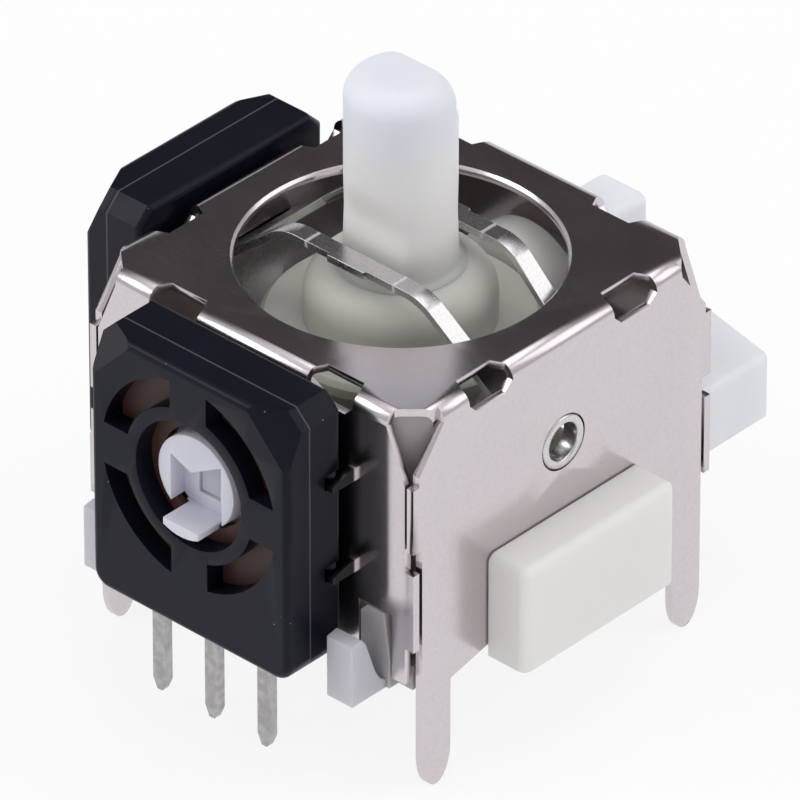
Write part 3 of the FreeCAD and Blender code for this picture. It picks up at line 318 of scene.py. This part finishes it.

# %% [markdown]
# The stick's colour is painted cooler and a little dimmer at its tip, where light from
# above falls, and darker and warmer on the hub, which is painted shade. The feet of the
# base, outside the walls, and its corner posts are painted greyer than the block, as
# painted shade. These painted tones follow the place on the piece.

# %% Acetal of the stick and the base, with painted light and shade
TIP_PAINTED_LIGHT, HUB_PAINTED_SHADE = (14.5, 18), (10.6, 13.2)
POST_SHADE_ZONE, POST_SHADE_STOP, FOOT_SHADE_ZONE = (12.4, 12.8), (7.5, 7.7), (-7.9, -7.5)

stick_finish = acetal("stick_acetal", gloss=0.42)
height = stick_finish.place.part("Z")
# painted light: the tip is toned cooler and a little dimmer, as lit from above
shaft_with_painted_tip = stick_finish.blend(height.smooth(*TIP_PAINTED_LIGHT) * 0.85 + stick_finish.shade * 0.15,
                                tone(245, 243, 240), tone(229, 233, 241))
# painted shade: the hub is toned darker and warmer
stick_finish.feed("Base Color", stick_finish.blend(
    height.smooth(*HUB_PAINTED_SHADE), tone(196, 195, 186), shaft_with_painted_tip))

block_finish = acetal("base_acetal")
base_x, base_y = block_finish.place.part("X"), block_finish.place.part("Y")
# painted shade: the corner posts and the feet outside the walls are toned greyer than the block
post = (base_x.size() - base_y).smooth(*POST_SHADE_ZONE) * (1 - base_x.smooth(*POST_SHADE_STOP))
foot_painted_shade = 1 - base_x.least(base_y).smooth(*FOOT_SHADE_ZONE)
shaded = block_finish.blend(post, tone(238, 236, 231), tone(172, 166, 165))
block_finish.feed("Base Color", block_finish.blend(foot_painted_shade, shaded, tone(196, 196, 203)))
print("stick and base with", len(stick_finish.tree.nodes), len(block_finish.tree.nodes), "nodes")

# %% [markdown]
# The resistors' cases are black moulded polyester. The skin has a very fine texture from
# the mould and a blue-black gloss, and a few pale specks of dust sit on it, which are the
# middles of sparse cells. The two halves of the mould met 9.65 mm from the axes of the
# module and left a thin paler seam there.

# %% Black moulded case
MOULD_LINE, SEAM_SOFT, DUST_SIZE = 9.65, (0.015, 0.05), (0.03, 0.055)


def black_case(name):
    paint = Paint(name, IOR=1.5, Specular_IOR_Level=0.16)
    cloud = paint.noise(1.5, detail=3)
    grain = paint.noise(0.09, detail=2)
    cells = paint.add("TexVoronoi", {}, {"Vector": paint.place, "Scale": 1.6}, "Distance")
    dust = (1 - cells.smooth(*DUST_SIZE)) * (cloud > 0.5)
    from_x = (paint.place.part("X") + MOULD_LINE).size()
    from_y = (paint.place.part("Y") + MOULD_LINE).size()
    seam = 1 - from_x.least(from_y).smooth(*SEAM_SOFT)
    body = paint.blend(cloud, tone(9, 11, 22), tone(16, 18, 32))
    lined = paint.blend(seam * 0.35, body, tone(120, 120, 128))
    paint.feed("Base Color", paint.blend(dust * 0.6, lined, tone(170, 170, 175)))
    paint.feed("Roughness", 0.27 + 0.08 * cloud + 0.08 * grain)
    paint.bump(grain * 0.5 + cloud + seam * 3, 0.004, 0.5)
    return paint


case_finish = black_case("case_polyester")
print("case with", len(case_finish.tree.nodes), "nodes")

# %% [markdown]
# The boards behind the windows are phenolic laminate, pressed from paper and resin. The
# fibres run mostly one way and show as darker and lighter streaks in the brown.

# %% Phenolic board
board_finish = Paint("board_laminate", IOR=1.5)
fibres = board_finish.noise(0.5, detail=5, stretch=(5, 1, 0.9))
patch = board_finish.noise(1.6, detail=2)
board_finish.feed("Base Color", board_finish.blend(fibres * 0.7 + patch * 0.3,
                                                   tone(42, 22, 18), tone(80, 46, 36)))
board_finish.feed("Roughness", 0.42 + 0.2 * fibres)
board_finish.bump(fibres, 0.006, 0.5)
print("board with", len(board_finish.tree.nodes), "nodes")

# %% [markdown]
# The terminals are tinned strip, which is greyer and duller than nickel. The wipers are
# spring bronze, and the return spring is drawn steel wire. Each has faint clouds and
# lines, which run along the strip of the terminals.

# %% Strip, bronze and wire
def dull_metal(name, dark, light, base_rough, stretch=(1, 1, 1)):
    paint = Paint(name, Metallic=1.0)
    cloud = paint.noise(0.3, detail=3)
    lines = paint.noise(0.25, detail=3, stretch=stretch)
    paint.feed("Base Color", paint.blend(cloud.smooth(0.3, 0.7), dark, light))
    paint.feed("Roughness", base_rough + 0.08 * cloud + 0.08 * lines)
    paint.bump(lines * 0.6 + cloud, 0.002, 0.5)
    return paint


terminal_finish = dull_metal("tinned_strip", tone(158, 156, 156), tone(182, 180, 180),
                             0.26, (8, 8, 1))
wiper_finish = dull_metal("wiper_bronze", tone(158, 126, 74), tone(202, 168, 108), 0.26)
wire_finish = dull_metal("spring_steel", tone(130, 130, 132), tone(172, 172, 174), 0.24)
print("dull metals with", len(wire_finish.tree.nodes), "nodes each")

# %% [markdown]
# Three pieces show a truer form than their solids. A refined piece is a copy of the
# solid's mesh, welded and with its flat faces joined again, that stands for the solid and
# rides on the same body. Its form is then edited like any mesh.

# %% Refined copies
HOLDER = {name: body for body, names in frame["record"]["behaviour"]["bodies"].items()
          for name in names}
WELD, FLAT = 0.0005 * MM, math.radians(0.5)


def refined(name, edit):
    """Copy a solid, change the copy's mesh with edit(mesh) and show it instead."""
    work = bmesh.new()
    work.from_mesh(nodes[name].data)
    bmesh.ops.remove_doubles(work, verts=work.verts, dist=WELD)
    bmesh.ops.dissolve_limit(work, angle_limit=FLAT, verts=work.verts, edges=work.edges)
    edit(work)
    mesh = bpy.data.meshes.new(name + "_refined")
    work.to_mesh(mesh)
    work.free()
    piece = bpy.data.objects.new(name + "_refined", mesh)
    bpy.context.scene.collection.objects.link(piece)
    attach(piece, HOLDER[name])
    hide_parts(name)
    print("refined", name, "with", len(mesh.polygons), "faces")
    return piece


def cut_off(work, place, direction):
    """Remove what lies beyond a plane, which looks along direction, and close the cut."""
    cut = bmesh.ops.bisect_plane(
        work, geom=work.verts[:] + work.edges[:] + work.faces[:],
        plane_co=place, plane_no=direction, clear_outer=True)
    rim = [item for item in cut["geom_cut"] if isinstance(item, bmesh.types.BMEdge)]
    bmesh.ops.edgeloop_fill(work, edges=rim)


print("bodies that carry solids:", sorted(set(HOLDER.values())))

# %% [markdown]
# The arch was folded from strip over a round tool, so each knee is a soft bend. A bevel
# with several steps on the folds gives that, and a smaller one turns over the lip of the
# hollow journal. The folds are the sharp edges across the strip near its top.

# %% Arch with round bends
KNEE_ROUND, LIP_ROUND = 0.6 * MM, 0.10 * MM
SHARP, FOLD_ZONE = math.radians(12), 1.2 * MM
FOLD_LEAST, STRAIGHT, LEVEL = 0.2 * MM, 0.05 * MM, 0.01 * MM
arch_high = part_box("arch_yoke")[1]


def bend_arch(work):
    folds, lips = [], []
    for edge in work.edges:
        run = edge.verts[1].co - edge.verts[0].co
        middle = (edge.verts[0].co + edge.verts[1].co) / 2
        sharp = len(edge.link_faces) == 2 and edge.calc_face_angle(0) > SHARP
        crosses = abs(run.y) > FOLD_LEAST and abs(run.x) < STRAIGHT and abs(run.z) < STRAIGHT
        if sharp and crosses and middle.z > arch_high.z - FOLD_ZONE:
            folds.append(edge)
        if sharp and middle.x > arch_high.x - LEVEL and abs(run.x) < LEVEL:
            lips.append(edge)
    bmesh.ops.bevel(work, geom=folds, offset=KNEE_ROUND, segments=6, affect="EDGES",
                    profile=0.5)
    lips = [edge for edge in lips if edge.is_valid]
    bmesh.ops.bevel(work, geom=lips, offset=LIP_ROUND, segments=3, affect="EDGES",
                    profile=0.5)
    print("folds", len(folds), "lip edges", len(lips))


arch_piece = refined("arch_yoke", bend_arch)

# %% [markdown]
# The stick's tip is a turned form with a flat on its far side, where a cap is keyed. The
# shaft is made here as rings round the axis. A point that would pass the cap's flat is
# held back to it, and where the arch's slot takes the shaft, its sides are drawn in
# gently. The shaft stands on the hub of the solid with a small soft root.

# %% Rings of the shaft
SHAFT, ROOT, TIP_ROUND, TIP_FLAT = 2.0, 2.08, 0.9, 0.5
HUB_TOP, TAPER_END, TIP = 11.2, 13.4, 18.85
ROOT_ROUND, ROOT_SUNK = 0.25, 0.3
ROOT_STEPS, TAPER_STEPS, TIP_STEPS = 6, 24, 12
TAPER_PAST, STEP_HALF, LAST_RING = 1.2, 0.03, 0.02
KEY_FLAT, KEY_LOW = 0.9, 17.0


def shaft_profile():
    """Heights and radii of the shaft's rings, from inside the hub to the tip."""
    rings = [(HUB_TOP - ROOT_SUNK, ROOT)]
    for step in range(ROOT_STEPS + 1):
        turn = math.pi / 2 * step / ROOT_STEPS
        rings.append((HUB_TOP + ROOT_ROUND * (1 - math.cos(turn)),
                      ROOT + ROOT_ROUND * (1 - math.sin(turn))))
    for step in range(1, TAPER_STEPS + 1):
        rise = (TAPER_END + TAPER_PAST - HUB_TOP) * step / TAPER_STEPS
        high = HUB_TOP + ROOT_ROUND + rise
        rings.append((high, max(SHAFT, ROOT - (ROOT - SHAFT) * (high - HUB_TOP)
                                / (TAPER_END - HUB_TOP))))
    rings += [(KEY_LOW - STEP_HALF, SHAFT), (KEY_LOW + STEP_HALF, SHAFT)]
    for step in range(TIP_STEPS + 1):
        turn = math.pi / 2 * step / TIP_STEPS
        rings.append((TIP - TIP_ROUND + TIP_ROUND * math.sin(turn),
                      SHAFT - TIP_ROUND + TIP_ROUND * math.cos(turn)))
    return rings + [(TIP, TIP_FLAT), (TIP, LAST_RING)]


print("rings of the shaft:", len(shaft_profile()))

# %% Stick with its shaft
SLOT_FLAT, SLOT_OPEN, SLOT_RAMP, HOLD = 1.45, 2.5, (13.1, 18.0), 8
SEGMENTS, CUT_SUNK, SMALLEST = 96, 0.02, 0.002 * MM


def ramp(value, low, high):
    share = min(max((value - low) / (high - low), 0), 1)
    return share * share * (3 - 2 * share)


def shaft_point(high, radius, turn):
    x, y = radius * math.cos(turn), radius * math.sin(turn)
    slot = SLOT_FLAT + SLOT_OPEN * ramp(high, *SLOT_RAMP)
    if high > HUB_TOP + ROOT_ROUND:
        y /= (1 + abs(y / slot) ** HOLD) ** (1 / HOLD)
    if high > KEY_LOW:
        y = min(y, KEY_FLAT)
    return Vector((x, y, high)) * MM


def turn_shaft(work):
    """Cut the solid's shaft off at the hub and stand the turned one on it."""
    cut_off(work, (0, 0, (HUB_TOP - CUT_SUNK) * MM), (0, 0, 1))
    loops = [[work.verts.new(shaft_point(high, radius, math.tau * k / SEGMENTS))
              for k in range(SEGMENTS)] for high, radius in shaft_profile()]
    for lower, upper in zip(loops, loops[1:]):
        for k in range(SEGMENTS):
            work.faces.new((lower[k - 1], lower[k], upper[k], upper[k - 1]))
    work.faces.new(loops[-1])
    work.faces.new(loops[0][::-1])
    bmesh.ops.dissolve_degenerate(work, dist=SMALLEST, edges=work.edges)


stick_piece = refined("stick", turn_shaft)

# %% [markdown]
# The base has a foot on both sides of each resistor. Seen from the side it is a hook: an
# upright lip at the outside and a hollow curve down to the wall. Inside both corners of the
# frame on -Y stands a slim post of the same moulding, whose slanted face fills the corner.

# %% Base with hooked feet and corner posts
FRONT_FOOT, SIDE_FOOT, WALL_OUTSIDE = (5.2, 6.4), (4.78, 5.95), 7.68
HOOK = ((9.4, 0), (9.4, 2.5), (8.9, 2.6), (8.69, 2.34), (8.33, 1.31), (8.2, 0.94),
        (7.95, 0.5), (7.6, 0.285), (7.6, 0))
POST_FACE, POST_DEPTH, POST_HALF = 9.5, 0.6, 0.76
POST_LOW, POST_HIGH = 0.5, 11.0


def prism_between(work, low_ring, high_ring):
    """A closed solid between two rings of points with the same count."""
    low = [work.verts.new(Vector(point) * MM) for point in low_ring]
    high = [work.verts.new(Vector(point) * MM) for point in high_ring]
    work.faces.new(low[::-1])
    work.faces.new(high)
    for k in range(len(low)):
        work.faces.new((low[k - 1], low[k], high[k], high[k - 1]))


def post_section(side):
    """The four corners of a post in plan, turned by half a right angle."""
    half = math.sqrt(0.5)
    return [((POST_FACE - deep + across) * half * side, (across + deep - POST_FACE) * half)
            for deep, across in ((0, POST_HALF), (0, -POST_HALF),
                                 (POST_DEPTH, -POST_HALF), (POST_DEPTH, POST_HALF))]


def reshape_base(work):
    for beyond in (Vector((-1, 0, 0)), Vector((0, -1, 0))):
        cut_off(work, beyond * WALL_OUTSIDE * MM, beyond)
    for side in (1, -1):
        prism_between(work, *([(place * side, -out, z) for out, z in HOOK]
                              for place in FRONT_FOOT))
        prism_between(work, *([(-out, place * side, z) for out, z in HOOK]
                              for place in SIDE_FOOT))
        prism_between(work, *([(x, y, z) for x, y in post_section(side)]
                              for z in (POST_LOW, POST_HIGH)))
    bmesh.ops.recalc_face_normals(work, faces=work.faces)


base_piece = refined("base", reshape_base)

# %% [markdown]
# Each solid now gets its finish, and its sharp edges are eased by a few hundredths of a
# millimetre, as tumbling and moulding leave them. The imported triangles are welded
# first, because a bevel needs whole edges to work on.

# %% Dress the solids
FINISHES = {
    "cage": (frame_finish, 0.045), "arch_yoke": (arch_finish, 0.04),
    "base": (block_finish, 0.07), "stick": (stick_finish, 0.05),
    "lower_yoke": (block_finish, 0.05), "press_saddle": (push_finish, 0.06),
    "push_lever": (push_finish, 0.06), "centring_plunger": (plunger_finish, 0),
    "return_spring": (wire_finish, 0),
    "cover": (case_finish, 0.22), "tray": (case_finish, 0.08),
    "board": (board_finish, 0), "rotor": (rotor_finish, 0.04),
    "wiper": (wiper_finish, 0), "terminal_1": (terminal_finish, 0.02),
    "terminal_2": (terminal_finish, 0.02), "terminal_3": (terminal_finish, 0.02),
}
EASE_STEPS, EASE_ANGLE = 3, math.radians(24)


def ease_edges(solid, width):
    """Weld the triangles and round the sharp edges by modifiers."""
    weld = solid.modifiers.new("weld", "WELD")
    weld.merge_threshold = WELD
    bevel = solid.modifiers.new("eased_edges", "BEVEL")
    bevel.width = width * MM
    bevel.segments = EASE_STEPS
    bevel.limit_method = "ANGLE"
    bevel.angle_limit = EASE_ANGLE
    bevel.harden_normals = False
    smooth = solid.modifiers.new("smooth_faces", "WEIGHTED_NORMAL")
    smooth.keep_sharp = False


shown = {**nodes, "arch_yoke": arch_piece, "stick": stick_piece, "base": base_piece}
for name, solid in shown.items():
    finish, width = FINISHES.get(name) or FINISHES[name.split("_", 2)[2]]
    solid.data.materials.clear()
    solid.data.materials.append(finish.material)
    if width:
        ease_edges(solid, width)
print("dressed", len(shown), "solids")

# %% [markdown]
# The object stands on a pale floor in an even studio. The floor is a large disc of paper.
# The camera and polished sheet see it almost white, through the Light Path, and it still
# takes the object's shadow.

# %% Floor
FLOOR_RADIUS, FLOOR_SIDES, FLOOR_GLOW = 1.5, 64, 0.85

floor_mesh = bpy.data.meshes.new("floor")
rim = [Vector((math.cos(k * math.tau / FLOOR_SIDES), math.sin(k * math.tau / FLOOR_SIDES), 0))
       * FLOOR_RADIUS for k in range(FLOOR_SIDES)]
floor_mesh.from_pydata(rim, [], [range(FLOOR_SIDES)])
floor = bpy.data.objects.new("floor", floor_mesh)
floor.location.z = cad_box[0][2]
bpy.context.scene.collection.objects.link(floor)

floor_finish = Paint("floor_paper", Roughness=0.8, Specular_IOR_Level=0.1)
paper = floor_finish.noise(3, detail=2)
floor_finish.feed("Base Color", floor_finish.blend(paper, tone(246, 246, 247),
                                                   tone(249, 249, 250)))
rays = floor_finish.add("LightPath", {}, {}, "Is Camera Ray").most(
    floor_finish.add("LightPath", {}, {}, "Is Glossy Ray"))
glow = floor_finish.add("Emission", {}, {"Color": (1, 1, 1, 1), "Strength": 1.0})
seen = floor_finish.add("MixShader", {}, {
    0: rays * FLOOR_GLOW, 1: Wire(floor_finish, floor_finish.shader.outputs[0]), 2: glow})
floor_finish.tree.links.new(seen.socket,
                            floor_finish.tree.nodes["Material Output"].inputs[0])
floor.data.materials.append(floor_finish.material)
print("floor at", round(floor.location.z / MM, 2), "mm")

# %% [markdown]
# Polished sheet shows what stands opposite: the upright walls of the frame mirror the
# bright floor, and the flat plate mirrors a dark curtain that hangs high at the back.
# The ceiling is bright again. The camera itself sees a white backdrop.

# %% World
CEILING, CURTAIN_SIDES, CURTAIN_FOOT = (0.68, 0.95), (0.35, 0.65), (0.28, 0.42)
TO_CURTAIN = (-0.679, 0.735, 0.0)
WALL_LIGHT, CURTAIN_LIGHT = (0.62, 0.62, 0.63, 1), (0.04, 0.036, 0.036, 1)
CEILING_LIGHT, BACKDROP = (0.9, 0.9, 0.92, 1), (1, 1, 1, 1)

world = bpy.data.worlds.new("studio")
bpy.context.scene.world = world
world.use_nodes = True
sky = Nodes(world.node_tree)
heading = sky.add("TexCoord", {}, {}, "Generated")
backward = sky.add("VectorMath", {"operation": "DOT_PRODUCT"}, {0: heading, 1: TO_CURTAIN},
                   "Value")
climb = heading.part("Z")
curtain = backward.smooth(*CURTAIN_SIDES) * climb.smooth(*CURTAIN_FOOT)
walls = sky.blend(curtain, WALL_LIGHT, CURTAIN_LIGHT)
room = sky.blend(climb.smooth(*CEILING), walls, CEILING_LIGHT)
camera_ray = sky.add("LightPath", {}, {}, "Is Camera Ray")
light_of_room = sky.blend(camera_ray, room, BACKDROP)
background = world.node_tree.nodes["Background"]
world.node_tree.links.new(light_of_room.socket, background.inputs["Color"])
background.inputs["Strength"].default_value = 1.0
print("room with", len(world.node_tree.nodes), "nodes")

# %% [markdown]
# Three softboxes light the object: the key from the left front, a broad one from above
# and a weak one that fills the right side. They are square lamps that look at the object,
# weak enough that the white mouldings don't clip.

# %% Lamps
SOFTBOXES = {
    "key_lamp": ((-0.39, -0.39, 0.43), 0.30, 1.1),
    "top_lamp": ((0.05, 0.10, 0.70), 0.50, 0.9),
    "side_lamp": ((0.39, 0.43, 0.39), 0.40, 0.55),
}

for name, (place, size, power) in SOFTBOXES.items():
    light = bpy.data.lights.new(name, "AREA")
    light.shape, light.size, light.energy = "SQUARE", size, power
    lamp = bpy.data.objects.new(name, light)
    lamp.location = place
    lamp.rotation_mode = "QUATERNION"
    lamp.rotation_quaternion = (-Vector(place)).to_track_quat("-Z", "Y")
    bpy.context.scene.collection.objects.link(lamp)

bpy.context.scene.view_settings.view_transform = "Standard"
print("lamps:", len(SOFTBOXES))
